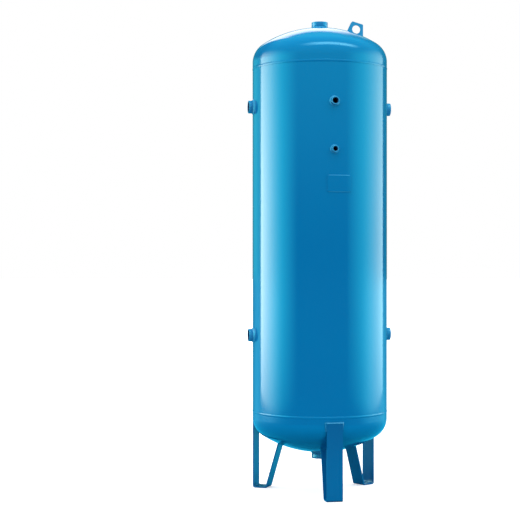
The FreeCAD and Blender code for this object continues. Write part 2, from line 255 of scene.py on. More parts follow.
def soft_noise(group, given, size_name, detail):
    """A noise inside an effect, with patches as large as the named input says in metres."""
    made = put(group, "ShaderNodeTexNoise")
    scale = combine(group, "DIVIDE", 1.0, given.outputs[size_name])
    feed(group, made, Vector=given.outputs["Position"], Scale=scale, Detail=detail)
    return made.outputs["Fac"]


def use(tree, group, **sources):
    """A node group placed in a material, with its named inputs filled."""
    made = put(tree, "ShaderNodeGroup", node_tree=group)
    feed(tree, made, **sources)
    return made


print("helpers for effects are ready")

# %% [markdown]
# ## Orange peel
# Sprayed enamel never dries mirror flat. It keeps a fine dimpled skin called orange peel, a few hundredths
# of a millimetre deep. A noise scaled in metres gives a height for a Bump node.

# %% Effect: orange peel
orange_peel, given, result = new_effect(
    "orange_peel",
    {"Position": "vector", "Dimple Size": 0.003, "Depth": 0.00002},
    {"Height": "Float"},
)
dimples = soft_noise(orange_peel, given, "Dimple Size", 1.0)
feed(orange_peel, result, Height=product(orange_peel, dimples, given.outputs["Depth"]))
print("effect:", orange_peel.name)

# %% [markdown]
# ## Paint film
# A hand-sprayed coat is a little thicker in some passes than in others. Where it is thick it looks deeper
# and dries a little less smooth. The group mixes two blues by a soft patchy noise, and the same noise raises
# the roughness.

# %% Effect: paint film
thin_blue = (0.0, 0.162, 0.405, 1.0)
thick_blue = (0.0, 0.146, 0.39, 1.0)
paint_film, given, result = new_effect(
    "paint_film",
    {
        "Position": "vector",
        "Thin Coat": thin_blue,
        "Thick Coat": thick_blue,
        "Patch Size": 0.25,
        "Roughness": 0.1,
        "Roughness Spread": 0.04,
    },
    {"Color": "Color", "Roughness": "Float"},
)
patches = soft_noise(paint_film, given, "Patch Size", 3.0)
coat = blend(paint_film, patches, given.outputs["Thin Coat"], given.outputs["Thick Coat"])
spread = product(paint_film, patches, given.outputs["Roughness Spread"])
dulled = total(paint_film, given.outputs["Roughness"], spread)
feed(paint_film, result, Color=coat, Roughness=dulled)
print("effect:", paint_film.name)

# %% [markdown]
# ## Rubbed edges
# Paint wears first where something touches it: the feet on the floor, the lug where a hook goes through.
# The group takes a distance from that place, and a noise breaks the worn border up.

# %% Effect: rubbed paint
rubbed, given, result = new_effect(
    "rubbed_paint",
    {"Position": "vector", "Distance": 0.0, "Reach": 0.004, "Fleck Size": 0.003, "Amount": 0.5},
    {"Mask": "Float"},
)
flecks = soft_noise(rubbed, given, "Fleck Size", 4.0)
nearness = step(rubbed, given.outputs["Distance"], 0.0, given.outputs["Reach"], 1.0, 0.0)
worn = product(rubbed, nearness, given.outputs["Amount"])
threshold = combine(rubbed, "SUBTRACT", 1.0, worn)
feed(rubbed, result, Mask=step(rubbed, flecks, threshold, 1.05, 0.0, 1.0))
print("effect:", rubbed.name)

# %% [markdown]
# ## Steel under the paint
# Rolled plate and pressed heads are not perfectly true. The plate waves by up to a tenth of a millimetre
# over a hand's length, which bends the long reflections slightly.

# %% Effect: plate waves
plate_waves, given, result = new_effect(
    "plate_waves",
    {"Position": "vector", "Wave Length": 0.15, "Depth": 0.0001},
    {"Height": "Float"},
)
waves = soft_noise(plate_waves, given, "Wave Length", 1.0)
feed(plate_waves, result, Height=product(plate_waves, waves, given.outputs["Depth"]))
print("effect:", plate_waves.name)

# %% [markdown]
# ## Starting a finish
# Every finish begins the same way: a material with its own Principled shader, and the position on the
# object in metres, so that a dimple or a fleck has its real size. Heights in metres go through a Bump node.

# %% A new finish and its relief
def new_finish(name):
    """A new material, its tree, its shader and its position socket."""
    material = bpy.data.materials.new(name)
    material.use_nodes = True
    tree = material.node_tree
    position = put(tree, "ShaderNodeTexCoord").outputs["Object"]
    return material, tree, tree.nodes["Principled BSDF"], position


def emboss(tree, shader, height):
    """Let the surface catch the light as if it had that height, in metres."""
    bump = put(tree, "ShaderNodeBump")
    feed(tree, bump, Height=height, Distance=1.0)
    feed(tree, shader, Normal=bump.outputs["Normal"])


print("finishes can be started")

# %% [markdown]
# ## Mixing an enamel
# Every painted part gets the same enamel with its own amounts. A dielectric reflects little light from the
# front and much at a glancing angle. Reflections from the front are tinted on purpose, because white ones
# would grey a blue that is as strong as a screen can show.

# %% Enamel
def mix_enamel(name, roughness, peel_depth, wave_depth, thin=thin_blue, thick=thick_blue):
    """A gloss enamel over steel. Returns the material, its tree, its shader and its position socket."""
    material, tree, shader, position = new_finish(name)
    shader.inputs["Specular IOR Level"].default_value = 0.75
    shader.inputs["Specular Tint"].default_value = (0.5, 0.95, 1.0, 1.0)
    film = use(tree, paint_film, Position=position, Roughness=roughness, Thin_Coat=thin, Thick_Coat=thick)
    feed(tree, shader, Base_Color=film.outputs["Color"], Roughness=film.outputs["Roughness"])
    peel = use(tree, orange_peel, Position=position, Depth=peel_depth)
    waved = use(tree, plate_waves, Position=position, Depth=wave_depth)
    emboss(tree, shader, total(tree, peel.outputs["Height"], waved.outputs["Height"]))
    return material, tree, shader, position


shell_enamel = mix_enamel("shell_enamel", 0.09, 0.00001, 0.00006)[0]
head_enamel = mix_enamel("head_enamel", 0.1, 0.000014, 0.0001)[0]
bead_enamel = mix_enamel("bead_enamel", 0.12, 0.00003, 0.0)[0]
# Lighter blues than the shell's paint: painted light on the sockets, their fillets, the bracket's welds and
# the lug.
painted_light_thin_blue = (0.035, 0.28, 0.54, 1.0)
painted_light_thick_blue = (0.012, 0.205, 0.46, 1.0)
socket_enamel_painted_light = mix_enamel("socket_enamel_painted_light", 0.12, 0.000014, 0.0, painted_light_thin_blue, painted_light_thick_blue)[0]
print("enamels for the shell, heads, beads and sockets")

# %% [markdown]
# ## Enamel that is rubbed off
# The legs get the same enamel, darkened as painted shade, with a mask over it. Under the mask the shader
# turns from
# paint to bare steel: greyer, metallic and rougher. The feet are rubbed where they scrape over a floor.

# %% Rubbed enamel of the legs
BARE_STEEL = (0.16, 0.17, 0.18, 1.0)
BARE_STEEL_ROUGHNESS = 0.45
FOOT_WEAR = 12 * MM


def rub_enamel(tree, shader, mask):
    """Show bare steel where the mask is 1."""
    colour = shader.inputs["Base Color"].links[0].from_socket
    dullness = shader.inputs["Roughness"].links[0].from_socket
    shown = blend(tree, mask, colour, BARE_STEEL)
    rough = blend_amounts(tree, mask, dullness, BARE_STEEL_ROUGHNESS)
    feed(tree, shader, Base_Color=shown, Roughness=rough, Metallic=mask)


# Darker blues than the shell's paint: painted shade on the legs and their welds.
painted_shade_blue = (0.0, 0.105, 0.296, 1.0)
painted_shade_deeper_blue = (0.0, 0.094, 0.28, 1.0)
leg_enamel_painted_shade, tree, shader, position = mix_enamel("leg_enamel_painted_shade", 0.16, 0.00002, 0.00005, painted_shade_blue, painted_shade_deeper_blue)
above_floor = split(tree, position)[2]
foot_rub = use(tree, rubbed, Position=position, Distance=above_floor, Reach=FOOT_WEAR, Amount=0.5)
rub_enamel(tree, shader, foot_rub.outputs["Mask"])
print("leg enamel, rubbed under", round(FOOT_WEAR / MM), "mm")

# %% [markdown]
# ## Enamel of the lug
# A crane hook or a shackle rubs the lug round its eye. The record knows where the eye is and how wide, so
# the distance from its edge can be worked out with a few Math nodes and given to the same effect.

# %% Enamel rubbed round the eye
EYE_WEAR = 3 * MM
eye = next(mount for mount in frame["record"]["mounts"] if mount["name"] == "lifting_eye")
eye_x, _, eye_z = eye["pos_m"]
eye_radius = eye["dims"]["r_mm"] * MM
# The lug's enamel uses the lighter blues, which is painted light; the rub round the eye is real wear.
lug_enamel_painted_light, tree, shader, position = mix_enamel("lug_enamel_painted_light", 0.14, 0.00002, 0.00003, painted_light_thin_blue, painted_light_thick_blue)
lug_x, _, lug_z = split(tree, position)
sideways = combine(tree, "POWER", combine(tree, "SUBTRACT", lug_x, eye_x), 2.0)
above = combine(tree, "POWER", combine(tree, "SUBTRACT", lug_z, eye_z), 2.0)
from_centre = combine(tree, "POWER", total(tree, sideways, above), 0.5)
from_eye = combine(tree, "SUBTRACT", from_centre, eye_radius)
eye_rub = use(tree, rubbed, Position=position, Distance=from_eye, Reach=EYE_WEAR, Amount=0.45)
rub_enamel(tree, shader, eye_rub.outputs["Mask"])
print("lug enamel, rubbed round the eye at", round(eye_x, 3), round(eye_z, 3))

# %% [markdown]
# ## Oiled steel in the threads
# Threads are masked when the vessel is sprayed, so they stay dark oiled steel with blue overspray on it.
# The paint film effect serves again, with dark colours and small patches, under fine scratches.

# %% Thread steel
thread_steel, tree, shader, position = new_finish("thread_steel")
shader.inputs["Metallic"].default_value = 0.3
oil = use(tree, paint_film, Position=position, Patch_Size=0.01, Roughness=0.35, Roughness_Spread=0.2)
feed(tree, oil, Thin_Coat=(0.006, 0.05, 0.17, 1.0), Thick_Coat=(0.0, 0.03, 0.11, 1.0))
feed(tree, shader, Base_Color=oil.outputs["Color"], Roughness=oil.outputs["Roughness"])
scratches = use(tree, orange_peel, Position=position, Dimple_Size=0.0006, Depth=0.00002)
emboss(tree, shader, scratches.outputs["Height"])
print("thread steel ready")

# %% [markdown]
# ## Giving a piece its place in the model
# Each new piece rides on the CAD body, hides the CAD node that it stands for, and takes its materials.

# %% Add a piece
def add_piece(name, mesh, materials, replaced):
    """Put a mesh into the scene as a piece that stands for a CAD node."""
    piece = bpy.data.objects.new(name, mesh)
    bpy.context.scene.collection.objects.link(piece)
    for material in materials:
        mesh.materials.append(material)
    mesh.shade_smooth()
    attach(piece, "root")
    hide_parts(replaced)
    return piece


print("pieces can be added")

# %% [markdown]
# ## Weld beads
# A bead is metal that froze behind a moving puddle. Each step of the puddle leaves a curved ripple, which
# trails at the middle. The slice below has that ripple in its height, so the whole bead is real geometry.

# %% One slice through a bead
BEAD_POINTS = 7
STEPS_PER_RIPPLE = 6
RIPPLE_LAG = 0.35
WANDER_LENGTH = 40 * MM


def bead_slice(toe, other_toe, root, rise, ripple, phase):
    """The crowned face of a bead from toe to toe, then its root below the surface."""
    across = other_toe - toe
    middle = (toe + other_toe) / 2
    crown = middle - root
    crown = (crown - across * (crown.dot(across) / across.length_squared)).normalized()
    points = []
    for j in range(BEAD_POINTS):
        v = 2 * j / (BEAD_POINTS - 1) - 1
        hump = 1 - v * v
        wave = abs(math.sin(math.pi * (phase - RIPPLE_LAG * v * v)))
        points.append(middle + across * v / 2 + crown * hump * (rise - ripple * (1 - wave)))
    points.append(root)
    return points


def lay_bead(name, sections, rise, ripple, pitch, loop, finish=bead_enamel):
    """Skin a bead over its (toe, toe, root) sections and stand it for the CAD node of that name."""
    rows = []
    travelled = 0.0
    before = sections[0][0]
    for toe, other_toe, root in sections:
        travelled += (toe - before).length
        before = toe
        rows.append(bead_slice(toe, other_toe, root, rise, ripple, travelled / pitch))
    bead = add_piece(name + "_bead", skin(name, rows, loop), [finish], name)
    print(bead.name, "ripples:", round(travelled / pitch))
    return bead


def unsteady(place, amount):
    """A factor near 1 that wanders along a weld, as a hand or a wire feed does."""
    return 1 + amount * noise.noise(place / WANDER_LENGTH)


# %% [markdown]
# ## Girth seams
# The heads are butt welded to the shell, and the cap stands about a millimetre proud. The bead is swept
# round the vessel, a little wider here and narrower there, with its toes sunk a little into the plate.

# %% The two girth seams
GIRTH_RIPPLE = 0.25 * MM
GIRTH_PITCH = 5 * MM
GIRTH_WANDER = 0.12
TOE_SINK = 0.25 * MM
ROOT_DEPTH = 2 * MM
CAP_SHARE = 0.5
girth_low, girth_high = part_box("upper_girth_weld")
cap_half_width = (girth_high.z - girth_low.z) / 2
cap_rise = CAP_SHARE * (girth_high.x - vessel_radius)
girth_rise = cap_rise + 0.15 * MM
girth_steps = int(2 * math.pi * vessel_radius / GIRTH_PITCH * STEPS_PER_RIPPLE)


def girth_sections(height):
    """Sections of a girth seam, all the way round."""
    sections = []
    for i in range(girth_steps):
        turn = 2 * math.pi * i / girth_steps
        outward = Vector((math.cos(turn), math.sin(turn), 0))
        seat = outward * (vessel_radius - TOE_SINK) + UP * height
        half = UP * cap_half_width * min(1, unsteady(seat, GIRTH_WANDER))
        sections.append((seat - half, seat + half, seat - outward * ROOT_DEPTH))
    return sections


for seam, height in (("upper_girth_weld", upper_seam), ("lower_girth_weld", lower_seam)):
    lay_bead(seam, girth_sections(height), girth_rise, GIRTH_RIPPLE, GIRTH_PITCH, True)

# %% [markdown]
# ## The long seam
# The shell is one plate rolled into a tube, closed by a straight bead up its back. Its ends run under the
# two girth beads, which were laid after it.

# %% The seam up the back
back = Vector((0, 1, 0))
sideways = Vector((1, 0, 0))
END_TUCK = 0.6
bottom = lower_seam + cap_half_width * END_TUCK
top = upper_seam - cap_half_width * END_TUCK
seam_half_width = 0.95 * cap_half_width
seam_steps = int((top - bottom) / GIRTH_PITCH * STEPS_PER_RIPPLE)
sections = []
for i in range(seam_steps + 1):
    seat = back * (vessel_radius - TOE_SINK) + UP * (bottom + (top - bottom) * i / seam_steps)
    half = sideways * seam_half_width * min(1, unsteady(seat, GIRTH_WANDER))
    sections.append((seat - half, seat + half, seat - back * ROOT_DEPTH))
lay_bead("shell_seam_weld", sections, cap_rise, GIRTH_RIPPLE, GIRTH_PITCH, False)

# %% [markdown]
# ## Threaded sockets
# Each port is a turned steel half-coupling with a parallel pipe thread. The thread is cut for real: the
# bore's radius follows a helix, so it reads as a thread when someone looks in.

# %% Pipe threads
INCH = 25.4 * MM
LEAD_IN = 1.6 * MM
THREAD_DEPTH = 0.64


def thread_pitch(bore):
    """Parallel pipe threads: 14 turns to the inch in the small sizes, 11 from one inch up."""
    return INCH / 14 if bore < 15 * MM else INCH / 11


def bore_radius(bore, depth, turn):
    """Radius of the threaded bore at a depth below the face and at a part of a turn."""
    pitch = thread_pitch(bore)
    groove = 0.5 - 0.5 * math.cos(2 * math.pi * (depth / pitch - turn))
    return max(bore + THREAD_DEPTH * pitch * groove, bore + LEAD_IN - depth)


print("thread pitches:", round(INCH / 14 / MM, 3), round(INCH / 11 / MM, 3), "mm")

# %% [markdown]
# ### Where each port is
# The record's mounts give every port its axis and its bore, and the box of the CAD socket gives its outside,
# its length and its face. One small class keeps the five together for the cells that follow.

# %% Size and place of a port
class Port:
    """Where a socket stands and how big it is, from its mount and its CAD box."""

    def __init__(self, mount):
        low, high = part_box(mount["name"].replace("_port", "_socket"))
        size = high - low
        self.axis = Vector(mount["axis"])
        self.length = abs(size.dot(self.axis))
        self.outside = (size.x + size.y + size.z - self.length) / 4
        self.face = (low + high) / 2 + self.axis * self.length / 2
        self.bore = mount["dims"]["r_mm"] * MM
        self.side = self.axis.orthogonal().normalized()
        self.other_side = self.axis.cross(self.side)

    def around(self, turn):
        """The direction away from the axis at a part of a turn."""
        angle = 2 * math.pi * turn
        return self.side * math.cos(angle) + self.other_side * math.sin(angle)


ports = {}
for mount in frame["record"]["mounts"]:
    if mount["kind"] == "threaded_hole":
        ports[mount["name"].replace("_port", "_socket")] = Port(mount)
print("ports:", len(ports))

# %% [markdown]
# ### Turning a socket
# The outline runs from the inner end, up the outside, over the rounded rim and down the thread. Every ring
# of points goes round the axis once, and the last ring meets the first inside the vessel.

# %% Turn the sockets
RING_POINTS = 56
RINGS_PER_TURN = 8
RIM_STEPS = 5
RIM_RADIUS = 1.2 * MM


def outside_rings(port):
    """(radius, depth) of the rings over a socket's outside, from its inner end to its lead-in."""
    rings = [(port.outside, port.length), (port.outside, RIM_RADIUS * 1.2)]
    for i in range(RIM_STEPS + 1):
        angle = math.pi / 2 * i / RIM_STEPS
        radius = port.outside - RIM_RADIUS * (1 - math.cos(angle))
        rings.append((radius, RIM_RADIUS * (1 - math.sin(angle))))
    mouth = port.bore + LEAD_IN
    rings.append((mouth + 0.3 * MM, 0))
    rings.append((mouth + 0.05 * MM, 0.02 * MM))
    return rings


def turn_socket(name, port):
    """A socket with its outside in enamel and its thread in bare steel."""
    rows = []
    for radius, depth in outside_rings(port):
        middle = port.face - port.axis * depth
        rows.append([middle + port.around(j / RING_POINTS) * radius for j in range(RING_POINTS)])
    painted = len(rows)
    steps = int(port.length / thread_pitch(port.bore) * RINGS_PER_TURN)
    for i in range(1, steps + 1):
        depth = port.length * i / steps
        middle = port.face - port.axis * depth
        turns = [j / RING_POINTS for j in range(RING_POINTS)]
        rows.append([middle + port.around(t) * bore_radius(port.bore, depth, t) for t in turns])
    mesh = skin(name, rows, True)
    inside = range(painted * RING_POINTS, (len(rows) - 1) * RING_POINTS)
    piece = add_piece(name + "_threaded", mesh, [socket_enamel_painted_light, thread_steel], name)
    for i in inside:
        mesh.polygons[i].material_index = 1
    print(piece.name, "outside", round(2 * port.outside / MM, 1), "bore", round(2 * port.bore / MM, 2))


for name, port in ports.items():
    turn_socket(name, port)

# %% [markdown]
# ## Fillet welds round the sockets
# A fillet fills the corner between socket and plate. On the round shell that corner rises and falls, so
# each section finds the plate with the ray. The bead closes on itself where the welder met the start.

# %% Fillets round the sockets
FILLET_PITCH = 3.2 * MM
FILLET_RIPPLE = 0.4 * MM
FILLET_WANDER = 0.1
TOE_OVERLAP = 0.2 * MM
HOLE_EDGE = 1.2 * MM


def socket_fillet(name, port):
    """Lay the fillet between a socket and the vessel."""
    low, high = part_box(name)
    size = high - low
    leg = (size.x + size.y + size.z - abs(size.dot(port.axis))) / 4 - port.outside
    count = int(2 * math.pi * port.outside / FILLET_PITCH * STEPS_PER_RIPPLE)
    sections = []
    for i in range(count):
        away = port.around(i / count)
        edge = port.face + away * (port.outside + HOLE_EDGE)
        root = on_plate(edge, port.axis) - away * HOLE_EDGE
        size = leg * unsteady(root, FILLET_WANDER)
        toe = root + port.axis * size - away * TOE_OVERLAP
        wall_toe = on_plate(root + away * size, port.axis) - port.axis * TOE_OVERLAP
        sections.append((toe, wall_toe, root - port.axis * MM + away * MM))
    lay_bead(name, sections, 0.12 * leg, FILLET_RIPPLE, FILLET_PITCH, True, socket_enamel_painted_light)


for name, port in ports.items():
    socket_fillet(name + "_weld", port)

# %% [markdown]
# ## Walking round an outline
# The legs, the lug and the nameplate bracket are welded along straight edges. A welder goes along an edge
# and swings round the corner without stopping. These stations do the same: even steps, then a fan.

# %% Stations along straight edges
FAN_STEPS = 9


def away_from(start, end):
    """The direction that points away from the part, which lies on the left of the walk."""
    edge = end - start
    return Vector((edge.y, -edge.x)).normalized()


def walk(corners, closed):
    """(place, away) stations along an outline of 2-D corners, with a fan at each corner."""
    stations = []
    count = len(corners)
    edges = count if closed else count - 1
    for i in range(edges):
        start = corners[i]
        end = corners[(i + 1) % count]
        away = away_from(start, end)
        steps = max(2, round((end - start).length / FILLET_PITCH * STEPS_PER_RIPPLE))
        stations.extend((start.lerp(end, k / steps), away) for k in range(steps + 1))
        if closed or i < edges - 1:
            next_away = away_from(end, corners[(i + 2) % count])
            stations.extend((end, away.slerp(next_away, k / FAN_STEPS)) for k in range(1, FAN_STEPS))
    return stations


square = [Vector(corner) * 10 * MM for corner in ((0, 0), (1, 0), (1, 1), (0, 1))]
print("stations round a 10 mm square:", len(walk(square, True)))

# %% [markdown]
# ### Fillets at the stations
# At every station the ray finds the vessel, and a section is drawn from the part to the plate. A fillet with
# open ends starts small and grows, as a bead does where the arc is struck and where it is broken off.

# %% Sections of a fillet
CLEAR_OF_PART = 0.3 * MM
END_SHARE = 0.3
LEGS_TO_FULL = 9
EDGE_WANDER = 0.08


def fillet_sections(stations, origin, right, up, leg, closed):
    """Bead sections for stations in the plane through origin along right and up."""
    normal = right.cross(up)
    sections = []
    for i, (place, away) in enumerate(stations):
        spot = origin + right * place.x + up * place.y
        out = right * away.x + up * away.y
        root = on_plate(spot + out * CLEAR_OF_PART, normal)
        from_end = min(i, len(stations) - 1 - i) * FILLET_PITCH / STEPS_PER_RIPPLE
        fade = 1 if closed else min(1, END_SHARE + from_end / (LEGS_TO_FULL * leg))
        size = leg * fade * unsteady(root, EDGE_WANDER)
        gap = max(0, (spot - root).dot(normal))
        toe = spot + normal * size - out * TOE_OVERLAP
        wall_toe = on_plate(root + out * (size + gap * fade), normal) - normal * TOE_OVERLAP
        sections.append((toe, wall_toe, root - normal * 0.6 * MM - out * 0.4 * MM))
    return sections


print("an open fillet starts at", END_SHARE, "of its full size")

# %% [markdown]
# ## Welds of the legs
# Each leg's strip is welded over its top and a little way down both edges, and the end of its brace is
# welded all round to the lower head. The front leg is measured, and the other two are the same turned.

# %% Measure the front leg
leg_low, leg_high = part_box("front_leg")
weld_low, weld_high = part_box("front_leg_strip_weld")
leg_half_width = (leg_high.x - leg_low.x) / 2
leg_weld = weld_high.z - leg_high.z
weld_bottom = weld_low.z + leg_weld
CROWN_RATIO = 0.8
crown_radius = CROWN_RATIO * 2 * vessel_radius
print("leg width:", round(2 * leg_half_width / MM, 1), "weld leg:", round(leg_weld / MM, 2))


def crown_centre(head, side):
    """The centre of a head's crown, from the rim of the hole at its tip. side is 1 for the upper head."""
    tip = max(nodes[head].data.vertices, key=lambda vertex: side * vertex.co.z).co
    return UP * (tip.z - side * math.sqrt(crown_radius ** 2 - tip.x ** 2 - tip.y ** 2))


upper_crown = crown_centre("upper_head", 1)
lower_crown = crown_centre("lower_head", -1)
print("crown centres:", round(upper_crown.z, 4), round(lower_crown.z, 4))


CROWN_TOLERANCE = 0.3 * MM
CROWN_REACH = 0.9 * vessel_radius


def trimmed_end(node, centre):
    """The corners of a part that lie on a head's crown."""
    corners = []
    for vertex in nodes[node].data.vertices:
        off_crown = abs((vertex.co - centre).length - crown_radius)
        if off_crown < CROWN_TOLERANCE and Vector(vertex.co.xy).length < CROWN_REACH:
            corners.append(vertex.co.copy())
    return corners


def rectangle_round(points, origin, right, up):
    """The corners of the rectangle round points, seen in the plane of right and up."""
    across = [(point - origin).dot(right) for point in points]
    upward = [(point - origin).dot(up) for point in points]
    corners = [(min(across), min(upward)), (max(across), min(upward))]
    corners += [(max(across), max(upward)), (min(across), max(upward))]
    return [Vector(corner) for corner in corners]


# %% [markdown]
# ### Laying the leg welds
# The strip's weld starts low on one edge, goes over the top and runs out low on the other. The brace ends in
# a slanted rectangle on the head, and its weld follows that rectangle in its own plane.

# %% Lay the welds of the legs
FRONT = Vector((0, -1, 0))
RIGHT = Vector((1, 0, 0))
strip_path = [
    Vector((leg_half_width, weld_bottom)),
    Vector((leg_half_width, leg_high.z)),
    Vector((-leg_half_width, leg_high.z)),
    Vector((-leg_half_width, weld_bottom)),
]
strip_sections = fillet_sections(walk(strip_path, False), FRONT * vessel_radius, RIGHT, UP, leg_weld, False)

brace_end = trimmed_end("front_leg", lower_crown)
ABOVE_FOOT = 40 * MM
BEHIND_STRIP = -0.93 * vessel_radius
brace_faces = [
    face
    for face in nodes["front_leg"].data.polygons
    if abs(face.normal.x) < 0.1 and face.center.z > ABOVE_FOOT and face.center.y > BEHIND_STRIP
]
brace_side = max(brace_faces, key=lambda face: face.area)
down_brace = brace_side.normal.cross(RIGHT).normalized()
if down_brace.z > 0:
    down_brace = -down_brace
across_brace = down_brace.cross(RIGHT)
brace_middle = sum(brace_end, Vector()) / len(brace_end)
brace_path = rectangle_round(brace_end, brace_middle, RIGHT, across_brace)
brace_sections = fillet_sections(walk(brace_path, True), brace_middle, RIGHT, across_brace, leg_weld, True)


def turned_sections(sections, degrees):
    """The same sections turned about the vessel's axis."""
    turn = Matrix.Rotation(math.radians(degrees), 3, "Z")
    return [tuple(turn @ point for point in section) for section in sections]


for leg, degrees in (("front_leg", 0), ("right_rear_leg", 120), ("left_rear_leg", 240)):
    strip = turned_sections(strip_sections, degrees)
    brace = turned_sections(brace_sections, degrees)
    rise = 0.1 * leg_weld
    lay_bead(leg + "_strip_weld", strip, rise, FILLET_RIPPLE, FILLET_PITCH, False, leg_enamel_painted_shade)
    lay_bead(leg + "_brace_weld", brace, rise, FILLET_RIPPLE, FILLET_PITCH, True, leg_enamel_painted_shade)

# %% [markdown]
# ## Weld of the lifting lug
# The lug is a plate that stands on the upper head and is welded all round its foot.

# %% Lay the lug's weld
lug_end = trimmed_end("lifting_lug", upper_crown)
lug_middle = sum(lug_end, Vector()) / len(lug_end)
lug_normal = (lug_middle - upper_crown).normalized()
along_lug = Vector((0, 1, 0)).cross(lug_normal).normalized()
across_lug = lug_normal.cross(along_lug)
lug_path = rectangle_round(lug_end, lug_middle, along_lug, across_lug)
lug_leg = 5 * MM
lug_sections = fillet_sections(walk(lug_path, True), lug_middle, along_lug, across_lug, lug_leg, True)
lay_bead("lifting_lug_weld", lug_sections, 0.1 * lug_leg, FILLET_RIPPLE, FILLET_PITCH, True)

# %% [markdown]
# ## Welds of the nameplate bracket
# The blank curved plate has a small fillet along its upper edge and another along its lower edge.

# %% Lay the bracket's welds
BRACKET_END_SHARE = 0.25
bracket_low, bracket_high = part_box("nameplate_bracket")


def bracket_fillet(node, edge, side):
    """Lay the fillet along one edge of the bracket. side is 1 above it and -1 below it."""
    low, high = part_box(node)
    leg = high.z - low.z
    first = math.asin(low.x / (vessel_radius + leg))
    last = math.asin(high.x / (vessel_radius + leg))
    count = int((last - first) * vessel_radius / FILLET_PITCH * STEPS_PER_RIPPLE)
    sections = []
    for i in range(count + 1):
        angle = first + (last - first) * i / count
        outward = Vector((math.sin(angle), -math.cos(angle), 0))
        root = outward * vessel_radius + UP * edge
        from_end = min(i, count - i) * FILLET_PITCH / STEPS_PER_RIPPLE
        size = leg * min(1, BRACKET_END_SHARE + math.sqrt(from_end / (2 * leg)))
        size *= unsteady(root, FILLET_WANDER)
        wall_toe = root + UP * side * size - outward * 0.3 * MM
        sections.append((root + outward * size, wall_toe, root - outward * MM))
    # The bracket's welds take the lighter socket enamel: painted light along the bracket's edges.
    lay_bead(node, sections, 0.1 * leg, 0.7 * FILLET_RIPPLE, FILLET_PITCH, False, socket_enamel_painted_light)


bracket_fillet("nameplate_bracket_upper_weld", bracket_high.z, 1)
bracket_fillet("nameplate_bracket_lower_weld", bracket_low.z, -1)

# %% [markdown]
# ## Paint and edges of the plate parts
# The shell, the heads, the legs, the lug and the bracket keep their CAD meshes. Rolled bar and cut plate
# have edges rounded by about a millimetre. A Bevel modifier adds those, and the CAD mesh stays as it is.

# %% Paint the CAD nodes
def paint(node, material):
    """Give a CAD node its enamel, on the object so that the mesh stays as it is."""
    for slot in nodes[node].material_slots:
        slot.link = "OBJECT"
        slot.material = material


def round_edges(node, radius):
    """Round the sharp edges of a CAD node."""
    bevel = nodes[node].modifiers.new("rounded_edges", "BEVEL")
    bevel.width = radius
    bevel.segments = 3
    bevel.limit_method = "ANGLE"
    bevel.angle_limit = math.radians(35)
    even = nodes[node].modifiers.new("even_shading", "WEIGHTED_NORMAL")
    even.keep_sharp = False


paint("shell", shell_enamel)
paint("upper_head", head_enamel)
paint("lower_head", head_enamel)
paint("nameplate_bracket", shell_enamel)
paint("lifting_lug", lug_enamel_painted_light)
round_edges("lifting_lug", 0.8 * MM)
round_edges("nameplate_bracket", 1.2 * MM)
for leg in ("front_leg", "right_rear_leg", "left_rear_leg"):
    paint(leg, leg_enamel_painted_shade)
    round_edges(leg, 1.1 * MM)
print("painted the CAD nodes that are shown")

# %% [markdown]
# ## Camera
# A long lens at about the height of the shell's middle, six metres in front and a little to the left. From
# that far the shell's sides look nearly parallel, so the vessel's proportions read true.

# %% Camera
CAMERA_TURN = math.radians(12.3)
CAMERA_DISTANCE = 6.048
CAMERA_HEIGHT = 1.0406
LOOK_LEFT = math.radians(2.53)
LOOK_DOWN = math.radians(0.09)
scene = bpy.context.scene
camera = bpy.data.objects.new("camera", bpy.data.cameras.new("camera"))
scene.collection.objects.link(camera)
to_camera = Vector((-math.sin(CAMERA_TURN), -math.cos(CAMERA_TURN), 0))
camera.location = to_camera * CAMERA_DISTANCE + UP * CAMERA_HEIGHT
heading = Matrix.Rotation(LOOK_LEFT, 3, "Z") @ -to_camera
heading.z = -math.tan(LOOK_DOWN)
camera.rotation_euler = heading.to_track_quat("-Z", "Y").to_euler()
camera.data.lens = 93.4
camera.data.sensor_width = 36
scene.camera = camera
print("camera at", [round(c, 3) for c in camera.location])

# %% [markdown]
# ## What the paint mirrors of the floor
# A gloss vessel mirrors the floor all along its lower half, so the floor in reflections has colours of its
# own. They are picked for the lower shell: a bright blue under the vessel, paler beside it, dark in front of
# it and behind it. Neither the camera nor matt paint sees them.

# %% The floor as the paint sees it
UNDER_VESSEL = (0.0, 0.47, 0.76, 1.0)
BESIDE_VESSEL = (0.08, 0.74, 0.98, 1.0)
BEHIND_VESSEL = (0.0, 0.22, 0.33, 1.0)
BEFORE_VESSEL = (0.0, 0.12, 0.18, 1.0)


def mirrored_floor(tree, spot):
    """The colour of the floor in reflections, by distance from the axis and by direction."""
    from_axis = put(tree, "ShaderNodeVectorMath", operation="LENGTH")
    tree.links.new(spot, from_axis.inputs[0])
    direction = put(tree, "ShaderNodeVectorMath", operation="NORMALIZE")
    tree.links.new(spot, direction.inputs[0])
    forward = reach_along(tree, direction.outputs["Vector"], to_camera)
    beside = step(tree, forward, -0.95, -0.62, 0.0, 1.0)
    before = step(tree, forward, -0.1, 0.5, 0.0, 1.0)
    all_round = blend(tree, beside, BEHIND_VESSEL, BESIDE_VESSEL)
    all_round = blend(tree, before, all_round, BEFORE_VESSEL)
    far = step(tree, from_axis.outputs["Value"], 0.8, 3.0, 0.0, 1.0)
    return blend(tree, far, UNDER_VESSEL, all_round)


print("mirrored floor ready")

# %% [markdown]
# ## Floor
# The receiver stands on a pale seamless floor. Its own faint glow makes it white to the camera, so that its
# far edge melts into the white of the room.

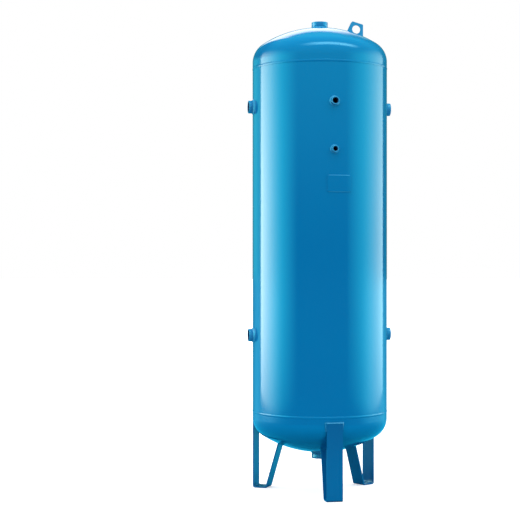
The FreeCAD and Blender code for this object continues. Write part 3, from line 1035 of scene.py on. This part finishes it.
# %% Pale floor
FLOOR_RADIUS = 60
FLOOR_DROP = 0.5 * MM
PALE = (0.86, 0.86, 0.86, 1.0)
BOUNCED = (0.23, 0.25, 0.26, 1.0)
bpy.ops.mesh.primitive_circle_add(vertices=96, radius=FLOOR_RADIUS, fill_type="NGON")
floor = bpy.context.object
floor.name = "studio_floor"
floor.location = -UP * FLOOR_DROP
floor_paint, tree, shader, position = new_finish("studio_floor_paint")
path = put(tree, "ShaderNodeLightPath")
shown = blend(tree, path.outputs["Is Camera Ray"], BOUNCED, PALE)
shown = blend(tree, path.outputs["Is Glossy Ray"], shown, mirrored_floor(tree, position))
own_glow = product(tree, path.outputs["Is Camera Ray"], 0.4)
feed(tree, shader, Base_Color=shown, Emission_Strength=own_glow)
shader.inputs["Roughness"].default_value = 0.9
shader.inputs["Specular IOR Level"].default_value = 0.1
shader.inputs["Emission Color"].default_value = (1.0, 1.0, 1.0, 1.0)
floor.data.materials.append(floor_paint)
print("floor of", FLOOR_RADIUS, "m radius")

# %% [markdown]
# ## Studio light
# A round vessel mirrors the whole room in narrow strips. Two tall soft boxes stand beside it, so that their
# reflections run down both flanks, and one hangs over it for the head. They light only the gloss. The soft
# light of the room does the rest.

# %% Soft boxes
scene.view_settings.view_transform = "Standard"


def soft_box(name, angle, distance, height, width, tall, aim_height):
    """A soft box at an angle from the camera's direction, positive to the right, aimed at the axis."""
    lamp = bpy.data.lights.new(name, "AREA")
    lamp.shape = "RECTANGLE"
    lamp.size = width
    lamp.size_y = tall
    lamp.energy = math.pi * width * tall
    place = Matrix.Rotation(math.radians(angle), 3, "Z") @ to_camera * distance + UP * height
    stand = bpy.data.objects.new(name, lamp)
    scene.collection.objects.link(stand)
    stand.location = place
    stand.rotation_euler = (place - UP * aim_height).to_track_quat("Z", "Y").to_euler()
    stand.visible_camera = False
    stand.visible_diffuse = False
    return stand


def cloth_of(stand):
    """The node tree of a soft box, its Emission node, and the place on its cloth from 0 to 1 each way."""
    stand.data.use_nodes = True
    tree = stand.data.node_tree
    place = put(tree, "ShaderNodeNewGeometry").outputs["Parametric"]
    across, upward, _ = split(tree, place)
    return tree, tree.nodes["Emission"], across, upward


left_box = soft_box("left_soft_box", angle=-77.6, distance=3.5, height=2, width=5.65, tall=5.6, aim_height=2)
right_box = soft_box("right_soft_box", angle=90, distance=3.5, height=2, width=6.6, tall=5.6, aim_height=2)
top_box = soft_box("overhead_soft_box", 39.5, 1.72, height=4.6, width=5.6, tall=1.25, aim_height=1.95)
top_box.rotation_euler = (0, 0, 0)
print("soft boxes:", left_box.name, right_box.name, top_box.name)

# %% [markdown]
# ## Fading the soft boxes
# The cloth of a real soft box is brightest near its lamp and falls off towards its seams. The weaker part of
# its light is also tinted blue on purpose, because a weak white reflection would grey a blue that is already
# as strong as a screen can show. Both changes go into the emission of each box.

# %% Fade the soft boxes
GLOSS_TINT = (0.1, 0.95, 1.0, 1.0)
WARM_WHITE = (1.0, 0.97, 0.88, 1.0)
COOL_WHITE = (0.72, 1.0, 0.97, 1.0)
OVERHEAD_TINT = (0.6, 0.95, 1.0, 1.0)


def fade_flank_box(stand, far_glow, near_glow, near_first, far_colour):
    """Let a box beside the vessel fade towards the camera and towards its top and foot."""
    tree, emission, near, upward = cloth_of(stand)
    if near_first:
        near = combine(tree, "SUBTRACT", 1.0, near)
    level = put(tree, "ShaderNodeMapRange")
    feed(tree, level, Value=near, To_Min=far_glow, To_Max=near_glow)
    edge = step(tree, near, 0.4, 1.12, 1.0, 0.0)
    foot = step(tree, upward, 0.0, 0.28, 0.0, 1.0)
    top = step(tree, upward, 0.37, 0.9, 1.0, 0.0)
    tinted = step(tree, near, 0.2, 0.7, 0.0, 1.0)
    strength = product(tree, level.outputs["Result"], edge, foot, top)
    feed(tree, emission, Strength=strength, Color=blend(tree, tinted, far_colour, GLOSS_TINT))


def fade_all_round(stand, glow, colour):
    """Let a box fade towards all four of its edges."""
    tree, emission, across, upward = cloth_of(stand)
    for place in (across, upward):
        rise = step(tree, place, 0.0, 0.35, 0.0, 1.0)
        fall = step(tree, place, 0.65, 1.0, 1.0, 0.0)
        glow = product(tree, glow, rise, fall)
    feed(tree, emission, Strength=glow, Color=colour)


fade_flank_box(left_box, far_glow=6.8, near_glow=3.9, near_first=False, far_colour=WARM_WHITE)
fade_flank_box(right_box, far_glow=3.0, near_glow=4.2, near_first=True, far_colour=COOL_WHITE)
fade_all_round(top_box, 5.4, OVERHEAD_TINT)
print("soft boxes faded")

# %% [markdown]
# ## The room in the gloss
# Where no soft box stands, the paint mirrors the room: a ceiling, a wall behind the vessel that is lighter
# low down on its left, and one window high up at the back. The window draws the bright band under the
# outline of the upper head.

# %% What the room looks like in the gloss
world = bpy.data.worlds.new("studio")
world.use_nodes = True
scene.world = world
tree = world.node_tree
facing = put(tree, "ShaderNodeTexCoord").outputs["Generated"]
height = split(tree, facing)[2]


def turned(angle):
    """The direction at an angle from the camera's, positive to the right."""
    return Matrix.Rotation(math.radians(angle), 3, "Z") @ to_camera


back_wall = step(tree, reach_along(tree, facing, turned(12)), -0.2, -0.8, 0.0, 1.0)
left_wall = step(tree, reach_along(tree, facing, turned(58)), -0.73, -0.98, 0.0, 1.0)
low_down = step(tree, height, 0.12, 0.25, 1.0, 0.0)
wall_glow = total(tree, product(tree, left_wall, low_down, 1.15), product(tree, back_wall, 0.24))

ceiling = step(tree, height, 0.0, 0.16, 0.08, 1.15)
front_ceiling = product(tree, ceiling, combine(tree, "SUBTRACT", 1.05, back_wall))
back_ceiling = product(tree, back_wall, step(tree, height, 0.6, 0.8, 0.0, 0.8))

sill = step(tree, height, 0.3, 0.42, 0.0, 2.2)
lintel = step(tree, height, 0.6, 0.68, 1.0, 0.0)
across = reach_along(tree, facing, turned(90))
left_jamb = step(tree, across, -0.34, -0.2, 0.0, 1.0)
right_jamb = step(tree, across, 0.02, 0.2, 1.0, 0.0)
window = product(tree, sill, lintel, back_wall, left_jamb, right_jamb)
gloss_light = total(tree, front_ceiling, wall_glow, window, back_ceiling)
print("the room in the gloss is ready")

# %% [markdown]
# ## The light of the room
# Matt light comes from all sides, and nearly twice as much of it from above. The camera sees plain white
# behind the vessel. The Light Path node tells the three kinds of ray apart, so each gets its own room.

# %% Light the room
WHITE = (1.0, 1.0, 1.0, 1.0)
path = put(tree, "ShaderNodeLightPath")
even_light = step(tree, height, -0.1, 0.9, 1.12, 2.0)
room_colour = blend(tree, path.outputs["Is Glossy Ray"], WHITE, blend(tree, window, GLOSS_TINT, WHITE))
room_light = blend_amounts(tree, path.outputs["Is Glossy Ray"], even_light, gloss_light)
room_light = blend_amounts(tree, path.outputs["Is Camera Ray"], room_light, 1.0)
feed(tree, tree.nodes["Background"], Color=room_colour, Strength=room_light)
print("room light ready")
